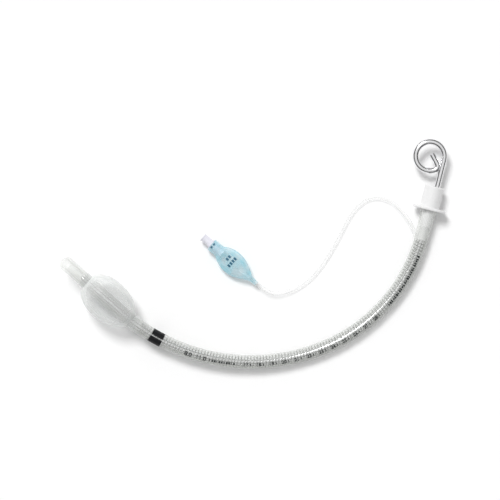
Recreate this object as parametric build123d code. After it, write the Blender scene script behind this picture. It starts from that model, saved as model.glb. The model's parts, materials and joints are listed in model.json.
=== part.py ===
from build123d import *
import math
import os

os.makedirs("parts", exist_ok=True)

# Cuffed, wire-reinforced endotracheal tube, size 8.0, loaded with a malleable stylet.
# Millimetres and degrees. The tube lies as it comes to rest: on its inflated cuff, on
# the low side of its bend and on the connector's flange. +X runs along its length.

# Shaft: a straight tip, two tangent bends and a short straight top
bore = 8.0
wall = 1.5
tip_heading = -41.8
tip_run = 64.0
lower_bend_radius = 152.0
lower_bend_angle = 63.0
upper_bend_radius = 131.0
upper_bend_angle = 54.8
top_run = 19.4
bevel_length = 9.0
tip_rounding = 0.55
tip_x = -150.6
tip_y = -4.45

# Inflation lumen in the wall, on the inner side of the bend
lumen_width = 0.7
lumen_depth = 0.28
lumen_skin = 0.14
port_radius = 0.6

# Reinforcing wire: one continuous coil of straight chords with a three-sided section
wire_size = 0.6
wire_pitch = 2.5
chords_per_turn = 8
wire_cover = 0.55
wire_from_cuff = 3.0
wire_end_margin = 2.0

# Cuff: a film sleeve, inflated. Its back shoulder is given by (share of length, share of rise)
cuff_diameter = 32.8
cuff_film = 0.4
cuff_start = 22.5
cuff_collar = 4.5
cuff_front_shoulder = 8.5
cuff_barrel = 20.0
cuff_back_shoulder = 18.0
cuff_front_steps = 3
cuff_back_shape = [(0.0, 1.0), (0.2, 0.93), (0.42, 0.79), (0.62, 0.58), (0.82, 0.28), (1.0, 0.0)]
cuff_glue = 0.02

# Connector: 15 mm male cone with a 1 in 40 taper, winged flange and tapered shank
cone_end_diameter = 15.22
cone_length = 17.0
cone_taper = 1 / 40
cone_rim = 0.7
mouth_bore = 11.6
waist_bore = 11.0
throat_bore = 7.2
flange_span = 26.4
flange_height = 18.0
flange_thickness = 2.0
flange_edge = 0.5
shank_length = 15.0
shank_tip_wall = 0.5
shank_end_diameter = 8.3
shank_base_diameter = 9.6

# Stylet: it leans on the connector's throat and ends in a bent handle loop
stylet_diameter = 4.6
stylet_set_back = 20.5
stylet_lean = 3.0
stylet_drop = 0.4
stem_bend_radius = 60.0
stem_run = 26.0
loop_radius = 11.4
loop_turn = 304.0
loop_corner_radius = 3.2
loop_corner_turn = 98.0
loop_end_run = 9.0

# Inflation line: a free cord, its route in the frame of the part
line_diameter = 2.8
line_exit_before_top = 23.0
line_exit_angle = 28.0
line_lead = 9.0
line_route = [
    (118.3, 31.8, 5.6),
    (108.1, 42.6, 2.4),
    (92.3, 45.4, 1.4),
    (77.3, 34.0, 1.4),
    (65.5, 9.5, 1.4),
    (51.3, -13.4, 1.4),
    (36.3, -26.9, 1.4),
    (17.3, -32.4, 4.4),
]

# Pilot balloon: a round bag between two flat faces, given by (distance from the rim, radius)
pilot_rim_x = -40.3
pilot_rim_y = 13.35
pilot_heading = -41.0
balloon_height = 12.4
balloon_film = 0.5
neck_start = 9.0
neck_radius = 5.0
neck_length = 8.0
balloon_profile = [(20.5, 7.3), (25.5, 8.9), (31.0, 9.3), (37.0, 8.6), (43.0, 6.0), (47.5, 3.4)]
tail_start = 51.0
tail_length = 5.0
tail_wall = 0.6
line_in_tail = 7.0
line_approach = 6.2

# Valve in the balloon's neck: a sprung plunger that a syringe's tip pushes open
inlet_rim_radius = 3.3
inlet_lip = 0.5
valve_body_radius = 3.9
luer_rim_radius = 2.14
luer_taper = 0.06
luer_depth = 7.5
valve_seat_start = 10.0
valve_seat_radius = 1.35
valve_chamber_start = 11.5
valve_chamber_radius = 2.7
valve_body_length = 20.0
plunger_travel = 1.0
plunger_stem_radius = 0.9
plunger_tip_recess = 5.0
plunger_head_radius = 2.1
plunger_head_thickness = 1.2
seal_thickness = 0.8
seal_radius = 2.2
spring_radius = 1.65
spring_wire = 0.4
spring_turns = 4
retainer_thickness = 1.6
retainer_vent = 0.5
retainer_pip_radius = 1.1
retainer_pip_length = 1.2
running_gap = 0.05

base_at_start = (Align.CENTER, Align.CENTER, Align.MIN)


def direction(heading):
    return Vector(math.cos(math.radians(heading)), math.sin(math.radians(heading)), 0)


def straight(length):
    return (length, 0.0)


def bend(radius, angle):
    return (radius * math.radians(angle), radius)


def station(stretches, distance):
    """The section plane at a distance from the tip: X to the inner side, Y up, Z along."""
    place = Vector(0, 0, 0)
    heading = tip_heading
    for length, radius in stretches:
        step = min(length, distance)
        if radius:
            turn = math.degrees(step / radius)
            place += direction(heading + 90) * radius
            place -= direction(heading + 90 + turn) * radius
            heading += turn
        else:
            place += direction(heading) * step
        distance -= step
        if distance <= 0:
            break
    return Plane(origin=place, x_dir=direction(heading + 90), z_dir=direction(heading))


def centreline(stretches, first, last, level):
    """The line along the stretches between two distances, as lines and tangent arcs."""
    edges = []
    travelled = 0.0
    for length, radius in stretches:
        begin = max(first, travelled)
        travelled += length
        end = min(last, travelled)
        if begin >= end:
            continue
        here = station(stretches, begin)
        there = station(stretches, end)
        lift = Vector(0, 0, level)
        if radius:
            turn = math.degrees((end - begin) / radius)
            edges.append(JernArc(here.origin + lift, here.z_dir, radius, turn).edge())
        else:
            edges.append(Edge.make_line(here.origin + lift, there.origin + lift))
    return Wire(edges)


def swept(section, stretches, first, last, level=0.0):
    plane = station(stretches, first)
    plane = Plane(plane.origin + Vector(0, 0, level), x_dir=plane.x_dir, z_dir=plane.z_dir)
    return sweep(plane * section, path=centreline(stretches, first, last, level))


def turned(outline):
    """A solid of revolution about Z. The outline is a closed chain of edges on XZ."""
    return revolve(make_face(outline), Axis.Z)


def turned_corners(corners):
    return turned(Polyline(*[(r, 0, z) for r, z in corners], close=True).edges())


def coil(frame_at, length, pitch, radius, size):
    """A wound wire: a ruled loft with one three-sided section for each chord."""
    sections = []
    for i in range(round(length / pitch * chords_per_turn) + 1):
        frame = frame_at(i * pitch / chords_per_turn)
        angle = 2 * math.pi * i / chords_per_turn
        outward = frame.x_dir * math.cos(angle) + frame.y_dir * math.sin(angle)
        base = frame.origin + outward * (radius - size / 2)
        side = frame.z_dir * (size / 2)
        sections.append(Wire.make_polygon([base + side, base - side, base + outward * size]))
    return Solid.make_loft(sections, ruled=True)


bore_radius = bore / 2
shaft_radius = bore_radius + wall
tube = [
    straight(tip_run),
    bend(lower_bend_radius, lower_bend_angle),
    bend(upper_bend_radius, upper_bend_angle),
    straight(top_run),
]
tube_length = sum(length for length, radius in tube)
top = station(tube, tube_length)
top_foot = station(tube, tube_length - top_run)
line_radius = line_diameter / 2
line_exit = tube_length - line_exit_before_top
barrel_start = cuff_start + cuff_collar + cuff_front_shoulder
barrel_middle = barrel_start + cuff_barrel / 2
cuff_back_collar = barrel_start + cuff_barrel + cuff_back_shoulder
wire_start = cuff_back_collar + cuff_collar + wire_from_cuff
flange_side = (flange_span - flange_height) / 2


def line_exit_frame():
    """Where the line leaves the shaft's inner side, Z along the line, towards the top."""
    side = station(tube, line_exit)
    angle = math.radians(line_exit_angle)
    along = side.z_dir * math.cos(angle) + side.x_dir * math.sin(angle)
    return Plane(side.origin + side.x_dir * shaft_radius, x_dir=side.y_dir, z_dir=along)


def tube_shaft():
    body = swept(Circle(shaft_radius) - Circle(bore_radius), tube, 0, tube_length)

    # the top end is stretched over the connector's shank
    stretch = (shank_base_diameter - bore) / 2
    sleeve = [
        (bore_radius, 0),
        (shaft_radius, 0),
        (shaft_radius + stretch, top_run),
        (bore_radius, top_run),
    ]
    seat = [
        (0, top_run - shank_length),
        (shank_end_diameter / 2, top_run - shank_length),
        (shank_base_diameter / 2, top_run),
        (0, top_run),
    ]
    body = body + top_foot * turned_corners(sleeve) - top_foot * turned_corners(seat)

    # the lumen, its port under the cuff, and the notch that takes the inflation line
    depth = shaft_radius - lumen_skin - lumen_depth / 2
    lumen = Pos(depth, 0) * Rectangle(lumen_depth, lumen_width)
    body -= swept(lumen, tube, barrel_middle, line_exit)
    port = station(tube, barrel_middle + port_radius)
    drill = Plane(port.origin + port.x_dir * shaft_radius, x_dir=port.y_dir, z_dir=port.x_dir)
    body -= drill * Cylinder(port_radius, 2 * (lumen_skin + lumen_depth))
    notch = Cylinder(line_radius, line_lead, align=(Align.CENTER, Align.CENTER, Align.MIN))
    body -= line_exit_frame() * notch

    # the tip is cut to a bevel that faces up, and its edges are rounded
    tip = station(tube, 0)
    corners = [(-shaft_radius, 0), (shaft_radius + 1, 0), (shaft_radius + 1, bevel_length)]
    corners += [(shaft_radius, bevel_length)]
    wedge = make_face(Polyline(*[(0, y, z) for y, z in corners], close=True))
    wedge = extrude(wedge, amount=2 * shaft_radius, both=True)
    body -= tip * wedge
    curved = body.edges().filter_by(GeomType.LINE, reverse=True)
    at_tip = curved.filter_by(lambda e: tip.to_local_coords(e.center()).Z < bevel_length)
    rim = at_tip.sort_by(lambda e: e.bounding_box().diagonal)[-1]
    return fillet(rim, tip_rounding)


def reinforcing_wire():
    length = line_exit - wire_end_margin - wire_start
    radius = shaft_radius - wire_cover - wire_size / 2
    return coil(lambda s: station(tube, wire_start + s), length, wire_pitch, radius, wire_size)


def cuff_outline():
    """(radius, distance) along the cuff's outer side, from its front end to its back end."""
    low = shaft_radius + cuff_glue + cuff_film
    rise = cuff_diameter / 2 - low
    corners = [(low, 0)]
    for i in range(cuff_front_steps + 1):
        angle = math.pi / 2 * i / cuff_front_steps
        front = cuff_collar + cuff_front_shoulder * (1 - math.cos(angle))
        corners.append((low + rise * math.sin(angle), front))
    back = cuff_collar + cuff_front_shoulder + cuff_barrel
    corners += [(low + rise * r, back + cuff_back_shoulder * z) for z, r in cuff_back_shape]
    return corners


def cuff():
    """The inflated film between its two collars, which are bonded round the shaft."""
    outer = Polyline(*[(r, 0, z) for r, z in cuff_outline()])
    wall_outline = offset(outer, -cuff_film, side=Side.LEFT, closed=True)
    film = station(tube, cuff_start) * revolve(make_face(wall_outline), Axis.Z)
    ring = Circle(shaft_radius + cuff_glue + cuff_film)
    film += swept(ring, tube, cuff_back_collar - 1, cuff_back_collar + cuff_collar)
    shaft_form = Circle(shaft_radius + cuff_glue)
    return film - swept(shaft_form, tube, cuff_start - 1, cuff_back_collar + cuff_collar + 1)


def connector():
    """Its flange sits on the shaft's end, and its tapered shank fills the stretched bore."""
    mouth = flange_thickness + cone_length
    cone_end = cone_end_diameter / 2
    cone_base = cone_end + (cone_length - cone_rim) * cone_taper / 2
    throat = throat_bore / 2
    corners = [
        (throat, -shank_length),
        (shank_end_diameter / 2 - shank_tip_wall / 2, -shank_length),
        (shank_end_diameter / 2, shank_tip_wall - shank_length),
        (shank_base_diameter / 2, 0),
        (cone_base, 0),
        (cone_base, flange_thickness),
        (cone_end, mouth - cone_rim),
        (cone_end - cone_rim, mouth),
        (mouth_bore / 2, mouth),
        (waist_bore / 2, flange_thickness + cone_length / 3),
        (throat, 0),
    ]
    wings = SlotOverall(flange_span, flange_height)
    plate = extrude(wings, flange_thickness)
    plate = chamfer(plate.edges().filter_by(Plane.XY), flange_edge)
    plate -= Cylinder(cone_base - 0.5, 3 * flange_thickness)
    return top * (turned_corners(corners) + plate)


lean_run = top_run + flange_thickness + cone_length
stylet_path = [
    straight(tip_run),
    bend(lower_bend_radius, lower_bend_angle),
    bend(upper_bend_radius, upper_bend_angle - stylet_lean),
    straight(lean_run),
    bend(stem_bend_radius, stylet_lean),
    straight(stem_run),
    bend(loop_radius, loop_turn),
    bend(loop_corner_radius, loop_corner_turn),
    straight(loop_end_run),
]
stylet_end = sum(length for length, radius in stylet_path)
stylet_radius = stylet_diameter / 2


def stylet():
    """A malleable rod with a round nose at its inner end."""
    rod = swept(Circle(stylet_radius), stylet_path, stylet_set_back, stylet_end, -stylet_drop)
    begin = station(stylet_path, stylet_set_back)
    nose = rod.edges().sort_by(lambda e: abs(begin.to_local_coords(e.center()).Z))[0]
    return fillet(nose, 0.9 * stylet_radius)


def lowest_point(frame, lean_length, radius, up):
    """The lowest point of a round barrel of that length about the frame's Z."""
    lean = up.dot(frame.z_dir)
    across = (up - frame.z_dir * lean).normalized()
    return frame.origin - frame.z_dir * math.copysign(lean_length / 2, lean) - across * radius


def floor_plane():
    """The plane that the cuff, the upper bend and the flange all rest on."""
    cuff_frame = station(tube, barrel_middle)
    bend_start = station(tube, tip_run + tube[1][0])
    bend_centre = bend_start.origin + bend_start.x_dir * upper_bend_radius
    flange_frame = Plane(
        top.origin + top.z_dir * flange_thickness / 2, x_dir=top.x_dir, z_dir=top.z_dir
    )
    up = Vector(0, 0, 1)
    bend_side = Vector(0.5, -1, 0)
    for _ in range(12):
        cuff_low = lowest_point(cuff_frame, cuff_barrel, cuff_diameter / 2, up)
        bend_low = bend_centre + bend_side.normalized() * upper_bend_radius - up * shaft_radius
        flange_low = lowest_point(flange_frame, flange_thickness, flange_height / 2, up)
        wing = math.copysign(flange_side, up.dot(flange_frame.x_dir))
        flange_low -= flange_frame.x_dir * wing
        up = (bend_low - cuff_low).cross(flange_low - cuff_low).normalized()
        bend_side = Vector(-up.X, -up.Y, 0)
    return Plane(cuff_low, x_dir=Vector(up.Z, 0, -up.X), z_dir=up)


# the held pieces are turned about the tip until that plane is the floor
floor = floor_plane()
level = floor.location.inverse()
level = Pos(0, 0, -(level * cuff()).bounding_box().min.Z) * level
tip_low = level * Location(station(tube, 0).origin)
rest = Pos(tip_x - tip_low.position.X, tip_y - tip_low.position.Y, 0) * level
line_exit_rest = Plane(rest * line_exit_frame().location)


def pilot_frame():
    """The balloon's axis: level, Z from the inlet's rim to the tail, Y up."""
    rim = (pilot_rim_x, pilot_rim_y, balloon_height / 2)
    return Plane(rim, x_dir=-direction(pilot_heading + 90), z_dir=direction(pilot_heading))


pilot = pilot_frame()
tail_end = tail_start + tail_length
valve_chamber_end = valve_body_length - retainer_thickness
plunger_head_start = valve_chamber_start + seal_thickness
spring_length = valve_chamber_end - plunger_head_start - plunger_head_thickness


def balloon_form(inset):
    """The bag as a solid: its turned outline, cut flat above and below."""
    corners = [(0, neck_start + neck_length), (neck_radius - inset, neck_start + neck_length)]
    corners += [(radius - inset, place) for place, radius in balloon_profile]
    corners += [(line_radius + tail_wall - inset, tail_start), (0, tail_start)]
    slab = Box(4 * neck_start, balloon_height - 2 * inset, 2 * tail_end)
    return turned_corners(corners) & slab


def barrel(start, radius, length):
    """A round bar about Z that begins at that height."""
    return Pos(0, 0, start) * Cylinder(radius, length, align=base_at_start)


def pilot_balloon():
    neck = barrel(neck_start, neck_radius, neck_length)
    tail = barrel(tail_start, line_radius + tail_wall, tail_length)
    seat = barrel(neck_start, valve_body_radius, neck_length)
    passage = barrel(tail_end - line_in_tail, line_radius, 2 * line_in_tail)
    body = balloon_form(0) + neck + tail - balloon_form(balloon_film)
    return pilot * (body - seat - passage)


def valve_body():
    """The inlet, tapered for a syringe's tip, the valve's seat and its chamber."""
    luer_end = luer_rim_radius - luer_depth * luer_taper / 2
    corners = [
        (luer_rim_radius, 0),
        (inlet_rim_radius, 0),
        (inlet_rim_radius, inlet_lip),
        (inlet_rim_radius - inlet_lip / 2, 2 * inlet_lip),
        (inlet_rim_radius, neck_start - 2 * inlet_lip),
        (valve_body_radius + inlet_lip, neck_start - 2 * inlet_lip),
        (valve_body_radius + inlet_lip, neck_start),
        (valve_body_radius, neck_start),
        (valve_body_radius, valve_body_length),
        (valve_chamber_radius, valve_body_length),
        (valve_chamber_radius, valve_chamber_start),
        (valve_seat_radius, valve_chamber_start),
        (valve_seat_radius, valve_seat_start),
        (luer_end, luer_depth),
    ]
    return pilot * turned_corners(corners)


def valve_plunger():
    """A stem that reaches into the inlet, and a head that holds the seal to its seat."""
    stem_length = plunger_head_start - plunger_tip_recess
    stem = barrel(plunger_tip_recess, plunger_stem_radius, stem_length)
    head = barrel(plunger_head_start, plunger_head_radius, plunger_head_thickness)
    return pilot * (stem + head)


def valve_seal():
    ring = barrel(valve_chamber_start + running_gap, seal_radius, seal_thickness - running_gap)
    hole = barrel(valve_chamber_start, plunger_stem_radius, 2 * seal_thickness)
    return pilot * (ring - hole)


def valve_spring():
    def frame_at(distance):
        return Plane((0, 0, distance), x_dir=(1, 0, 0), z_dir=(0, 0, 1))

    free = spring_length - spring_wire - 2 * running_gap
    wound = coil(frame_at, free, free / spring_turns, spring_radius, spring_wire)
    start = plunger_head_start + plunger_head_thickness + spring_wire / 2 + running_gap
    return pilot * Pos(0, 0, start) * wound


def valve_retainer():
    """The vented plug that closes the chamber and carries the spring."""
    disc = barrel(0, valve_chamber_radius, retainer_thickness)
    pip = barrel(-retainer_pip_length, retainer_pip_radius, retainer_pip_length)
    ring = PolarLocations((valve_chamber_radius + retainer_pip_radius) / 2, 3)
    vents = ring * Cylinder(retainer_vent, 4 * retainer_thickness)
    return pilot * Pos(0, 0, valve_chamber_end) * (disc + pip - vents)


def inflation_line():
    """Straight runs joined by tangent arcs, from the shaft's notch into the balloon's tail."""
    lead = line_exit_rest.origin + line_exit_rest.z_dir * line_lead
    end = pilot.origin + pilot.z_dir * (tail_end - line_in_tail)
    approach = pilot.origin + pilot.z_dir * (tail_end + line_approach)
    points = [line_exit_rest.origin, lead, *[Vector(*p) for p in line_route], approach, end]
    radii = []
    for before, here, after in zip(points, points[1:], points[2:]):
        turn = (here - before).get_angle(after - here)
        shorter = min((here - before).length, (after - here).length)
        radii.append(0.45 * shorter / math.tan(math.radians(turn / 2)))
    path = FilletPolyline(*points, radius=radii)
    section = Plane(points[0], z_dir=points[1] - points[0]) * Circle(line_radius)
    print("line radii", [round(radius, 1) for radius in radii])
    print("line length", round(path.length, 1))
    print("line runs", [round((b - a).length, 1) for a, b in zip(points, points[1:])])
    return sweep(section, path=path.wire())


held = {
    "tube_shaft": tube_shaft,
    "reinforcing_wire": reinforcing_wire,
    "cuff": cuff,
    "connector": connector,
    "stylet": stylet,
}
free = {
    "inflation_line": inflation_line,
    "pilot_balloon": pilot_balloon,
    "valve_body": valve_body,
    "valve_plunger": valve_plunger,
    "valve_seal": valve_seal,
    "valve_spring": valve_spring,
    "valve_retainer": valve_retainer,
}
for name, make in held.items():
    export_step(rest * make(), f"parts/{name}.step")
for name, make in free.items():
    export_step(make(), f"parts/{name}.step")
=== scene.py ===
import json
import math

import bpy
from mathutils import Matrix, Vector


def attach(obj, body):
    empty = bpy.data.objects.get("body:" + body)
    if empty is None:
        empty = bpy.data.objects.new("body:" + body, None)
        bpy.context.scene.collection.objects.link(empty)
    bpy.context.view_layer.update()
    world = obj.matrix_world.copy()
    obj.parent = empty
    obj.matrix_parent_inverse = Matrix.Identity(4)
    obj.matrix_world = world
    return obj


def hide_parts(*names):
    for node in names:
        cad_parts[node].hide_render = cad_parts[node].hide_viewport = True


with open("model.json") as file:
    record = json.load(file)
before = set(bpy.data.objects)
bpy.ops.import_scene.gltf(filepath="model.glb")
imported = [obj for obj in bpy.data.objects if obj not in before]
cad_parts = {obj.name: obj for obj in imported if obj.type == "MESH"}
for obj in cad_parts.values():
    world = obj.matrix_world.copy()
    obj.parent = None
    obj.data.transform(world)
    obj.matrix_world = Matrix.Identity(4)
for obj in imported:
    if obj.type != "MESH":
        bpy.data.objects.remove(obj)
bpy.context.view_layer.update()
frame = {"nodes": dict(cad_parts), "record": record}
nodes = frame["nodes"]
record = frame["record"]
body = "tube"
MM = 0.001
TURN = 2 * math.pi

# Shaft: its runs and bends from the tip on, a bend as its radius and its degrees
shaft_radius = 5.5 * MM
tip_run = 64.0 * MM
lower_bend = (152.0 * MM, 63.0)
upper_bend = (131.0 * MM, 54.8)
cuff_middle = 45.5 * MM


def mount(name):
    """Place and axis of a mount in the record."""
    for entry in record["mounts"]:
        if entry["name"] == name:
            return Vector(entry["pos_m"]), Vector(entry["axis"]).normalized()
    raise ValueError(name)


# The shaft's centreline lies in the plane of the cuff's axis and the cone's axis
cuff_place, to_tip = mount("airway_cuff")
cone_axis = mount("breathing_cone")[1]
shaft_up = cone_axis.cross(to_tip).normalized()
tip_place = cuff_place + to_tip * cuff_middle


def station(distance):
    """The centreline's place, and the side towards the bend's middle, at a distance from the tip."""
    place = tip_place.copy()
    along = -to_tip
    stretches = [(tip_run, None)]
    for radius, degrees in (lower_bend, upper_bend):
        stretches.append((radius * math.radians(degrees), radius))
    stretches.append((math.inf, None))
    for length, radius in stretches:
        step = min(length, distance)
        if radius:
            inner = shaft_up.cross(along)
            turn = Matrix.Rotation(step / radius, 3, shaft_up)
            place += inner * radius - (turn @ inner) * radius
            along = turn @ along
        else:
            place += along * step
        distance -= step
        if distance <= 0:
            break
    return place, shaft_up.cross(along)


def on_shaft(distance, angle, radius):
    """A point round the shaft. The angle is from the top towards the outer side, in radians."""
    place, inner = station(distance)
    return place + (shaft_up * math.cos(angle) - inner * math.sin(angle)) * radius


# Helpers for shapes


def placed(name, data):
    """An object in the scene, for a mesh, a curve, a lamp or a camera."""
    piece = bpy.data.objects.new(name, data)
    bpy.context.scene.collection.objects.link(piece)
    return piece


def mesh_piece(name, vertices, faces, material, smooth=True):
    """A mesh object of one material."""
    mesh = bpy.data.meshes.new(name)
    mesh.from_pydata([tuple(v) for v in vertices], [], faces)
    mesh.polygons.foreach_set("use_smooth", [smooth] * len(mesh.polygons))
    mesh.materials.append(material)
    mesh.update()
    return placed(name, mesh)


def grid_faces(rows, columns, closed):
    """Quads between neighbouring rows of points; closed joins each row's ends."""
    last = columns if closed else columns - 1
    faces = []
    for r in range(rows - 1):
        for c in range(last):
            d = (c + 1) % columns
            here = r * columns
            after = here + columns
            faces.append((here + c, here + d, after + d, after + c))
    return faces


def thin_wall(piece, thickness):
    """Gives a skin its thickness, inwards."""
    wall = piece.modifiers.new("wall", "SOLIDIFY")
    wall.thickness = thickness
    wall.offset = -1.0


def rod_along(name, kind, points, radius, roundness, material):
    """A round rod along one spline, and that spline."""
    curve = bpy.data.curves.new(name, "CURVE")
    curve.dimensions = "3D"
    curve.bevel_depth = radius
    curve.bevel_resolution = roundness
    curve.use_fill_caps = True
    spline = curve.splines.new(kind)
    spline.points.add(len(points) - 1)
    for point, place in zip(spline.points, points):
        point.co = (*place, 1.0)
    curve.materials.append(material)
    return placed(name, curve), spline


def smooth_between(points, x):
    """The value at x on a smooth curve through (x, value) points."""
    i = 0
    while i < len(points) - 2 and x > points[i + 1][0]:
        i += 1
    x0, y0 = points[i]
    x1, y1 = points[i + 1]
    before = points[max(i - 1, 0)]
    after = points[min(i + 2, len(points) - 1)]
    width = x1 - x0
    slope0 = (y1 - before[1]) / (x1 - before[0]) * width
    slope1 = (after[1] - y0) / (after[0] - x0) * width
    t = min(max((x - x0) / width, 0.0), 1.0)
    share = t * t * (3 - 2 * t)
    return y0 * (1 - share) + y1 * share + t * (1 - t) ** 2 * slope0 + t * t * (t - 1) * slope1


# Helpers for materials. A grain is the scale of the noise in a look
plastic_index = 1.5
film_grain = 60.0
balloon_grain = 130.0
moulded_grain = 900.0
rod_grain = 400.0
wire_grain = 1500.0
ink_grain = 2500.0
ink_gain = 1.5
ink_lift = 0.004


def shader(name):
    """A new material with its node tree and its Principled shader."""
    material = bpy.data.materials.new(name)
    material.use_nodes = True
    tree = material.node_tree
    return material, tree, tree.nodes["Principled BSDF"]


def grey(level):
    return (level, level, level, 1.0)


def ramp(tree, source, stops):
    """A colour ramp through (place, colour) stops."""
    node = tree.nodes.new("ShaderNodeValToRGB")
    first, last = node.color_ramp.elements
    first.position, first.color = stops[0]
    last.position, last.color = stops[-1]
    for place, colour in stops[1:-1]:
        node.color_ramp.elements.new(place).color = colour
    tree.links.new(source, node.inputs["Fac"])
    return node


def mottled(tree, principled, grain, low, high):
    """Noise that carries the base colour between two tones. It returns the noise."""
    coordinates = tree.nodes.new("ShaderNodeTexCoord")
    texture = tree.nodes.new("ShaderNodeTexNoise")
    texture.inputs["Scale"].default_value = grain
    texture.inputs["Detail"].default_value = 3.0
    tree.links.new(coordinates.outputs["Object"], texture.inputs["Vector"])
    colours = ramp(tree, texture.outputs["Fac"], [(0.35, (*low, 1.0)), (0.65, (*high, 1.0))])
    tree.links.new(colours.outputs["Color"], principled.inputs["Base Color"])
    return texture


def bump(tree, principled, texture, strength, distance):
    """Lets the noise lift the surface a little."""
    node = tree.nodes.new("ShaderNodeBump")
    node.inputs["Strength"].default_value = strength
    node.inputs["Distance"].default_value = distance
    tree.links.new(texture.outputs["Fac"], node.inputs["Height"])
    tree.links.new(node.outputs["Normal"], principled.inputs["Normal"])


def clear_plastic(name, low, high, middle, rim, roughness, grain=film_grain):
    """Clear film or tubing: its alpha grows from middle to rim, where the wall is seen edge on."""
    material, tree, principled = shader(name)
    principled.inputs["Roughness"].default_value = roughness
    principled.inputs["IOR"].default_value = plastic_index
    texture = mottled(tree, principled, grain, low, high)
    bump(tree, principled, texture, strength=0.08, distance=0.0004)
    facing = tree.nodes.new("ShaderNodeLayerWeight")
    facing.inputs["Blend"].default_value = 0.35
    alpha = ramp(tree, facing.outputs["Facing"], [(0.0, grey(middle)), (1.0, grey(rim))])
    tree.links.new(alpha.outputs["Color"], principled.inputs["Alpha"])
    return material


def moulded_plastic(name, low, high, roughness):
    material, tree, principled = shader(name)
    principled.inputs["Roughness"].default_value = roughness
    principled.inputs["IOR"].default_value = plastic_index
    principled.inputs["Subsurface Weight"].default_value = 0.15
    principled.inputs["Subsurface Radius"].default_value = (0.002, 0.002, 0.002)
    texture = mottled(tree, principled, moulded_grain, low, high)
    bump(tree, principled, texture, strength=0.05, distance=0.0001)
    return material


def metal(name, low, high, roughness, grain):
    material, tree, principled = shader(name)
    principled.inputs["Metallic"].default_value = 1.0
    principled.inputs["Roughness"].default_value = roughness
    texture = mottled(tree, principled, grain, low, high)
    bump(tree, principled, texture, strength=0.04, distance=0.0001)
    return material


def ink(name, colour):
    """Dull print or rubber, with specks a little lighter than its colour."""
    material, tree, principled = shader(name)
    principled.inputs["Roughness"].default_value = 0.5
    principled.inputs["Specular IOR Level"].default_value = 0.2
    lighter = tuple(ink_gain * c + ink_lift for c in colour)
    mottled(tree, principled, ink_grain, colour, lighter)
    return material


shaft_plastic = clear_plastic("shaft_clear_plastic", (0.78, 0.80, 0.77), (0.84, 0.86, 0.83),
                              middle=0.17, rim=0.60, roughness=0.36)
line_plastic = clear_plastic("line_clear_plastic", (0.95, 0.95, 0.95), (0.98, 0.98, 0.98),
                             middle=0.10, rim=0.55, roughness=0.2)
cuff_plastic = clear_plastic("cuff_clear_film", (0.94, 0.97, 0.96), (0.98, 0.99, 0.98),
                             middle=0.10, rim=0.72, roughness=0.26)
balloon_plastic = clear_plastic("balloon_blue_film", (0.48, 0.86, 0.97), (0.82, 0.95, 0.99),
                                middle=0.26, rim=0.80, roughness=0.22, grain=balloon_grain)
white_plastic = moulded_plastic("white_moulded_plastic", (0.80, 0.80, 0.80), (0.83, 0.83, 0.83),
                                roughness=0.32)
valve_plastic = moulded_plastic("valve_moulded_plastic", (0.76, 0.76, 0.83), (0.80, 0.80, 0.86),
                                roughness=0.3)
rod_metal = metal("bright_rod", (0.84, 0.84, 0.85), (0.90, 0.90, 0.91), roughness=0.22, grain=rod_grain)
wire_metal = metal("drawn_wire", (0.42, 0.42, 0.41), (0.54, 0.54, 0.52), roughness=0.4, grain=wire_grain)
spring_metal = metal("spring_wire", (0.45, 0.45, 0.45), (0.55, 0.55, 0.55), roughness=0.3, grain=wire_grain)
seal_rubber = ink("seal_rubber", (0.03, 0.03, 0.032))
band_ink = ink("band_ink", (0.006, 0.006, 0.007))
mark_ink = ink("mark_ink", (0.02, 0.024, 0.024))
balloon_ink = ink("balloon_ink", (0.04, 0.12, 0.18))

looks = {
    "tube_shaft": shaft_plastic,
    "reinforcing_wire": wire_metal,
    "cuff": cuff_plastic,
    "connector": white_plastic,
    "stylet": rod_metal,
    "inflation_line": line_plastic,
    "pilot_balloon": balloon_plastic,
    "valve_body": valve_plastic,
    "valve_plunger": valve_plastic,
    "valve_seal": seal_rubber,
    "valve_spring": spring_metal,
    "valve_retainer": valve_plastic,
}
for name, material in looks.items():
    node = nodes[name]
    for slot in node.material_slots:
        slot.material = material
    node.data.polygons.foreach_set("use_smooth", [True] * len(node.data.polygons))

# Inflation line: the route points of the solid line, in metres
line_diameter = 2.8 * MM
line_route = [
    (0.12656, 0.01386, 0.00835),
    (0.12463, 0.02262, 0.00906),
    (0.1183, 0.0318, 0.0056),
    (0.1081, 0.0426, 0.0024),
    (0.0923, 0.0454, 0.0014),
    (0.0773, 0.0340, 0.0014),
    (0.0655, 0.0095, 0.0014),
    (0.0513, -0.0134, 0.0014),
    (0.0363, -0.0269, 0.0014),
    (0.0173, -0.0324, 0.0044),
    (0.00664, -0.02746, 0.0062),
    (-0.00332, -0.0188, 0.0062),
]


def inflation_line():
    piece, spline = rod_along("inflation_line_tube", "NURBS", line_route, line_diameter / 2,
                              roundness=6, material=line_plastic)
    spline.order_u = 3
    spline.use_endpoint_u = True
    spline.resolution_u = 16
    return piece


# Cuff: a film between two collars. Each half has its length from the crest and its roundness
cuff_collar = 5.92 * MM
cuff_radius = 16.4 * MM
cuff_first = 22.5 * MM
cuff_crest = 47.0 * MM
cuff_last = 78.0 * MM
cuff_front = (21.4 * MM, 2.25)
cuff_back = (26.6 * MM, 2.05)
cuff_film_thickness = 0.3 * MM
cuff_rows = 150
cuff_columns = 128
shoulder_power = 1.5
wrinkle_height = 0.10 * MM
wrinkles = 15
wrinkle_sway = 0.7
wrinkle_sways = 3
fine_wrinkles = 23
fine_share = 0.5
fine_shift = 1.0


def cuff_swell(distance):
    """The film's radius at a distance from the tip."""
    half, roundness = cuff_front if distance < cuff_crest else cuff_back
    share = min(abs(distance - cuff_crest) / half, 1.0)
    return max(cuff_radius * (1 - share ** roundness) ** (1 / roundness), cuff_collar)


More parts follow.
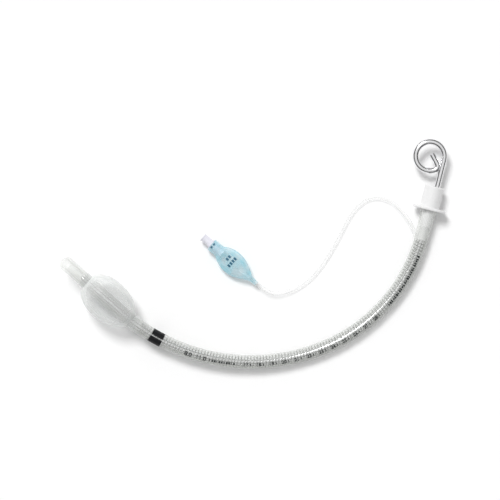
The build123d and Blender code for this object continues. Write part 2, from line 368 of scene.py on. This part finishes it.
def cuff_film():
    vertices = []
    for r in range(cuff_rows):
        passed = (1 - math.cos(math.pi * r / (cuff_rows - 1))) / 2
        distance = cuff_first + (cuff_last - cuff_first) * passed
        radius = cuff_swell(distance)
        rise = (radius - cuff_collar) / (cuff_radius - cuff_collar)
        shoulder = max(4 * rise * (1 - rise), 0.0) ** shoulder_power
        for c in range(cuff_columns):
            angle = TURN * c / cuff_columns
            wave = math.sin(wrinkles * angle + wrinkle_sway * math.sin(wrinkle_sways * angle))
            wave += fine_share * math.sin(fine_wrinkles * angle + fine_shift)
            vertices.append(on_shaft(distance, angle, radius + wrinkle_height * shoulder * wave))
    piece = mesh_piece("cuff_film", vertices, grid_faces(cuff_rows, cuff_columns, True), cuff_plastic)
    thin_wall(piece, cuff_film_thickness)
    return piece


# Reinforcing wire: round wire along the same coil as the solid wire
wire_from = 81.0 * MM
wire_to = 350.83 * MM
wire_pitch = 2.5 * MM
wire_line_radius = 4.65 * MM
wire_radius = 0.28 * MM
points_per_turn = 20


def coil_wire():
    points = []
    for i in range(int((wire_to - wire_from) / wire_pitch * points_per_turn)):
        turns = i / points_per_turn
        points.append(on_shaft(wire_from + turns * wire_pitch, -TURN * turns, wire_line_radius))
    return rod_along("coil_wire", "POLY", points, wire_radius, roundness=1, material=wire_metal)[0]


# Connector's spigot, seen through the clear top of the shaft
spigot_from = 351.2 * MM
spigot_to = 363.0 * MM
spigot_radius = 3.9 * MM
spigot_wall = 0.35 * MM
spigot_rows = 16
spigot_columns = 48


def spigot():
    vertices = []
    for r in range(spigot_rows):
        distance = spigot_from + (spigot_to - spigot_from) * r / (spigot_rows - 1)
        for c in range(spigot_columns):
            vertices.append(on_shaft(distance, TURN * c / spigot_columns, spigot_radius))
    faces = grid_faces(spigot_rows, spigot_columns, True)
    piece = mesh_piece("connector_spigot", vertices, faces, white_plastic)
    thin_wall(piece, spigot_wall)
    return piece


# Print on the shaft: a band split by a thin bare line that is a painted highlight, size numbers, depth
# numbers with ticks, and dashes.
# Places are distances from the tip, half angles are in radians round the shaft
print_radius = shaft_radius + 0.03 * MM
patch_step = 0.8 * MM
patch_turn = 0.12
band_middle = 96.3 * MM
band_width = 10.0 * MM
# The band's bare line is a painted highlight: the black ink stops these angles short of the top on either
# side, so the clear shaft shows as a light streak across the band
band_highlight_gap = (math.radians(1.3), math.radians(11.3))
size_angle = math.radians(16.0)
size_height = 3.4 * MM
size_numbers = (("8.0", 124.0 * MM), ("11.0", 134.5 * MM))
size_dashes_from = 141.0 * MM
size_dash_count = 11
size_dash_half_angle = 0.16
size_dash_shares = (0.5, 0.9, 0.9)
mark_angle = math.radians(19.0)
mark_height = 2.8 * MM
mark_first = 170.0 * MM
mark_step = 10.0 * MM
mark_count = 12
first_number = 17
tick_offset = 3.6 * MM
tick_half_width = 0.32 * MM
tick_half_angle = 0.17
guide_gap = 4.0 * MM
guide_dash_count = 24
guide_half_angles = (0.14, 0.20, 0.20)
guide_dash_shares = (0.7, 1.0)
dash_step = 1.9 * MM
dash_length = 1.5 * MM
capital_share = 0.7
stroke_swell = 0.12 * MM


def shaft_patch(name, first, last, low_angle, high_angle, material):
    """A thin patch of ink on the shaft between two distances and two angles."""
    rows = max(2, int((last - first) / patch_step) + 1)
    columns = max(2, int((high_angle - low_angle) / patch_turn) + 1)
    vertices = []
    for r in range(rows):
        distance = first + (last - first) * r / (rows - 1)
        for c in range(columns):
            angle = low_angle + (high_angle - low_angle) * c / (columns - 1)
            vertices.append(on_shaft(distance, angle, print_radius))
    return mesh_piece(name, vertices, grid_faces(rows, columns, False), material)


def shaft_number(name, text, distance, angle, height):
    """A number laid on the shaft, read from the tip towards the connector."""
    curve = bpy.data.curves.new(name, "FONT")
    curve.body = text
    curve.size = height / capital_share
    curve.align_x = "CENTER"
    curve.align_y = "CENTER"
    curve.resolution_u = 3
    curve.offset = stroke_swell
    outline = placed(name + "_outline", curve)
    bpy.context.view_layer.update()
    flat = bpy.data.meshes.new_from_object(outline)
    bpy.data.objects.remove(outline)
    bpy.data.curves.remove(curve)
    for vertex in flat.vertices:
        x, y = vertex.co.x, vertex.co.y
        vertex.co = on_shaft(distance + x, angle - y / print_radius, print_radius)
    flat.materials.clear()
    flat.materials.append(mark_ink)
    flat.name = name
    return placed(name, flat)


def shaft_print():
    half_band = band_width / 2
    # The black band leaves a bare line near the top, which is a painted highlight
    pieces = [shaft_patch("depth_band_with_highlight_gap", band_middle - half_band, band_middle + half_band,
                          band_highlight_gap[0], TURN - band_highlight_gap[1], band_ink)]
    for i, (text, distance) in enumerate(size_numbers):
        pieces.append(shaft_number(f"size_number_{i}", text, distance, size_angle, size_height))
    for i in range(size_dash_count):
        distance = size_dashes_from + i * dash_step
        length = dash_length * size_dash_shares[i % len(size_dash_shares)]
        pieces.append(shaft_patch(f"size_dash_{i}", distance, distance + length,
                                  size_angle - size_dash_half_angle,
                                  size_angle + size_dash_half_angle, mark_ink))
    for i in range(mark_count):
        distance = mark_first + i * mark_step
        tick = distance + tick_offset
        pieces.append(shaft_patch(f"depth_tick_{i}", tick - tick_half_width, tick + tick_half_width,
                                  mark_angle - tick_half_angle, mark_angle + tick_half_angle, mark_ink))
        pieces.append(shaft_number(f"depth_number_{i}", str(first_number + i), distance,
                                   mark_angle, mark_height))
    guide_from = mark_first + mark_count * mark_step + guide_gap
    for i in range(guide_dash_count):
        distance = guide_from + i * dash_step
        length = dash_length * guide_dash_shares[i % len(guide_dash_shares)]
        half_angle = guide_half_angles[i % len(guide_half_angles)]
        pieces.append(shaft_patch(f"guide_dash_{i}", distance, distance + length,
                                  mark_angle - half_angle, mark_angle + half_angle, mark_ink))
    return pieces


# Pilot balloon: a welded pillow, in millimetres: distance from the rim, half width, half height.
# Its seam and creases fade in where it is wider than high, and its underside lies flat
pilot_place, pilot_out = mount("syringe_inlet")
pilot_along = -pilot_out
pilot_side = Vector((0, 0, 1)).cross(pilot_along)
pillow = [
    (9.0, 5.0, 5.0), (13.0, 5.0, 5.0), (17.0, 5.05, 5.0), (20.5, 7.1, 5.55), (25.5, 8.8, 6.05),
    (31.0, 9.25, 6.15), (37.0, 8.5, 5.9), (43.0, 5.9, 4.6), (47.5, 3.4, 3.1), (51.0, 2.1, 2.1),
    (53.0, 2.0, 2.0), (56.0, 2.0, 2.0),
]
pillow_film_thickness = 0.35 * MM
pillow_rows = 120
pillow_columns = 96
pillow_floor = -6.18
puff_at = 2.5
seam_width = 0.9
seam_thickness = 0.12
crease_height = 0.10
creases = 9
crease_sway = 2.0
crease_sway_rate = 0.4
corner_drop = 0.10
corner_power = 8

# Printed rows on the balloon: distance from the rim, half width, and each dash's place across
balloon_rows = (
    (10.4, 0.7, (-1.6, 1.4)),
    (26.0, 1.2, (-0.6, 2.0)),
    (30.4, 1.3, (-3.6, -1.2, 1.2, 3.6)),
)
balloon_dash = 0.85
balloon_ink_height = 0.04 * MM
balloon_above = 20.0
balloon_dash_rows = 3
balloon_dash_columns = 13


def by_pilot(along, across, height):
    """A point by its millimetres along the pilot balloon's axis, across it and above it."""
    return pilot_place + (pilot_along * along + pilot_side * across) * MM + Vector((0, 0, height * MM))


def balloon_bag():
    widths = [(place, width) for place, width, height in pillow]
    heights = [(place, height) for place, width, height in pillow]
    first = pillow[0][0]
    last = pillow[-1][0]
    vertices = []
    for r in range(pillow_rows):
        place = first + (last - first) * r / (pillow_rows - 1)
        width = smooth_between(widths, place)
        height = smooth_between(heights, place)
        puff = max(min((width - height) / puff_at, 1.0), 0.0)
        sway = crease_sway * math.sin(place * crease_sway_rate)
        for c in range(pillow_columns):
            angle = TURN * c / pillow_columns
            side = math.cos(angle)
            rise = math.sin(angle)
            seam = puff * seam_width * math.exp(-((rise / seam_thickness) ** 2))
            crease = crease_height * puff * math.sin(creases * angle + sway)
            across = side * (width - seam_width * puff + seam)
            lift = rise * height * (1 - corner_drop * puff * side ** corner_power)
            lift += crease * abs(side * rise)
            vertices.append(by_pilot(place, across, max(lift, pillow_floor)))
    faces = grid_faces(pillow_rows, pillow_columns, True)
    piece = mesh_piece("balloon_bag", vertices, faces, balloon_plastic)
    thin_wall(piece, pillow_film_thickness)
    return piece


def balloon_bar(name, place, side, half_width, bag):
    """A dash printed on the top of the bag."""
    vertices = []
    for r in range(balloon_dash_rows):
        along = place + half_width * (2 * r / (balloon_dash_rows - 1) - 1)
        for c in range(balloon_dash_columns):
            across = side + balloon_dash * (2 * c / (balloon_dash_columns - 1) - 1)
            start = by_pilot(along, across, balloon_above)
            where, normal = bag.ray_cast(start, Vector((0, 0, -1)))[1:3]
            vertices.append(where + normal * balloon_ink_height)
    faces = grid_faces(balloon_dash_rows, balloon_dash_columns, False)
    return mesh_piece(name, vertices, faces, balloon_ink)


def balloon_print(bag):
    pieces = []
    for place, half_width, sides in balloon_rows:
        for side in sides:
            pieces.append(balloon_bar(f"balloon_mark_{len(pieces)}", place, side, half_width, bag))
    return pieces


line = inflation_line()
film = cuff_film()
wire = coil_wire()
marks = shaft_print()
bag = balloon_bag()
sleeve = spigot()
bpy.context.view_layer.update()
bars = balloon_print(bag)

for piece in (line, film, wire, bag, sleeve, *marks, *bars):
    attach(piece, body)
for piece, name in ((line, "inflation_line"), (film, "cuff"),
                    (wire, "reinforcing_wire"), (bag, "pilot_balloon")):
    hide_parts(name)

# Stage: a white floor, a soft lamp from the upper left and a plain bright world
floor_half_side = 4.0
lamp_strength = 2.1
lamp_spread = math.radians(20.0)
lamp_direction = Vector((0.50, -0.95, -1.55))
room_light = 0.50
horizon_light = 0.02
horizon_top = 0.55
ceiling_light = 0.80
ceiling_from = 0.88


def white_floor():
    s = floor_half_side
    material, tree, principled = shader("floor_white")
    principled.inputs["Base Color"].default_value = grey(0.97)
    principled.inputs["Roughness"].default_value = 0.9
    principled.inputs["Specular IOR Level"].default_value = 0.1
    corners = [(-s, -s, 0), (s, -s, 0), (s, s, 0), (-s, s, 0)]
    floor = mesh_piece("floor", corners, [(0, 1, 2, 3)], material, smooth=False)


def lamp():
    data = bpy.data.lights.new("key", "SUN")
    data.energy = lamp_strength
    data.angle = lamp_spread
    placed("key", data).rotation_euler = lamp_direction.to_track_quat("-Z", "Y").to_euler()


def room():
    """White to the eye and through clear pieces, dimmer as light, dark at the horizon in shiny ones."""
    world = bpy.data.worlds.new("studio")
    bpy.context.scene.world = world
    world.use_nodes = True
    tree = world.node_tree
    background = tree.nodes["Background"]
    background.inputs["Color"].default_value = grey(1.0)
    paths = tree.nodes.new("ShaderNodeLightPath")
    seen = tree.nodes.new("ShaderNodeMath")
    seen.operation = "MAXIMUM"
    tree.links.new(paths.outputs["Is Camera Ray"], seen.inputs[0])
    tree.links.new(paths.outputs["Is Transmission Ray"], seen.inputs[1])
    strength = tree.nodes.new("ShaderNodeMapRange")
    strength.inputs["To Min"].default_value = room_light
    strength.inputs["To Max"].default_value = 1.0
    tree.links.new(seen.outputs["Value"], strength.inputs["Value"])
    directions = tree.nodes.new("ShaderNodeTexCoord")
    height = tree.nodes.new("ShaderNodeSeparateXYZ")
    tree.links.new(directions.outputs["Generated"], height.inputs["Vector"])
    dark = grey(horizon_light)
    stops = [(0.0, dark), (horizon_top, dark), (ceiling_from, grey(ceiling_light))]
    reflected = ramp(tree, height.outputs["Z"], stops)
    mixed = tree.nodes.new("ShaderNodeMix")
    tree.links.new(paths.outputs["Is Glossy Ray"], mixed.inputs["Factor"])
    tree.links.new(strength.outputs["Result"], mixed.inputs["A"])
    tree.links.new(reflected.outputs["Color"], mixed.inputs["B"])
    tree.links.new(mixed.outputs["Result"], background.inputs["Strength"])


# Camera: straight above, with the photograph's width and middle on the floor
photo_width = 395.0 * MM
photo_middle = (-3.25 * MM, 3.12 * MM)
lens = 200.0
sensor_width = 36.0


def camera():
    data = bpy.data.cameras.new("camera")
    data.lens = lens
    data.sensor_width = sensor_width
    data.clip_end = 50.0
    eye = placed("camera", data)
    eye.location = (*photo_middle, photo_width * lens / sensor_width)
    bpy.context.scene.camera = eye


white_floor()
lamp()
room()
camera()
bpy.context.scene.view_settings.view_transform = "Standard"
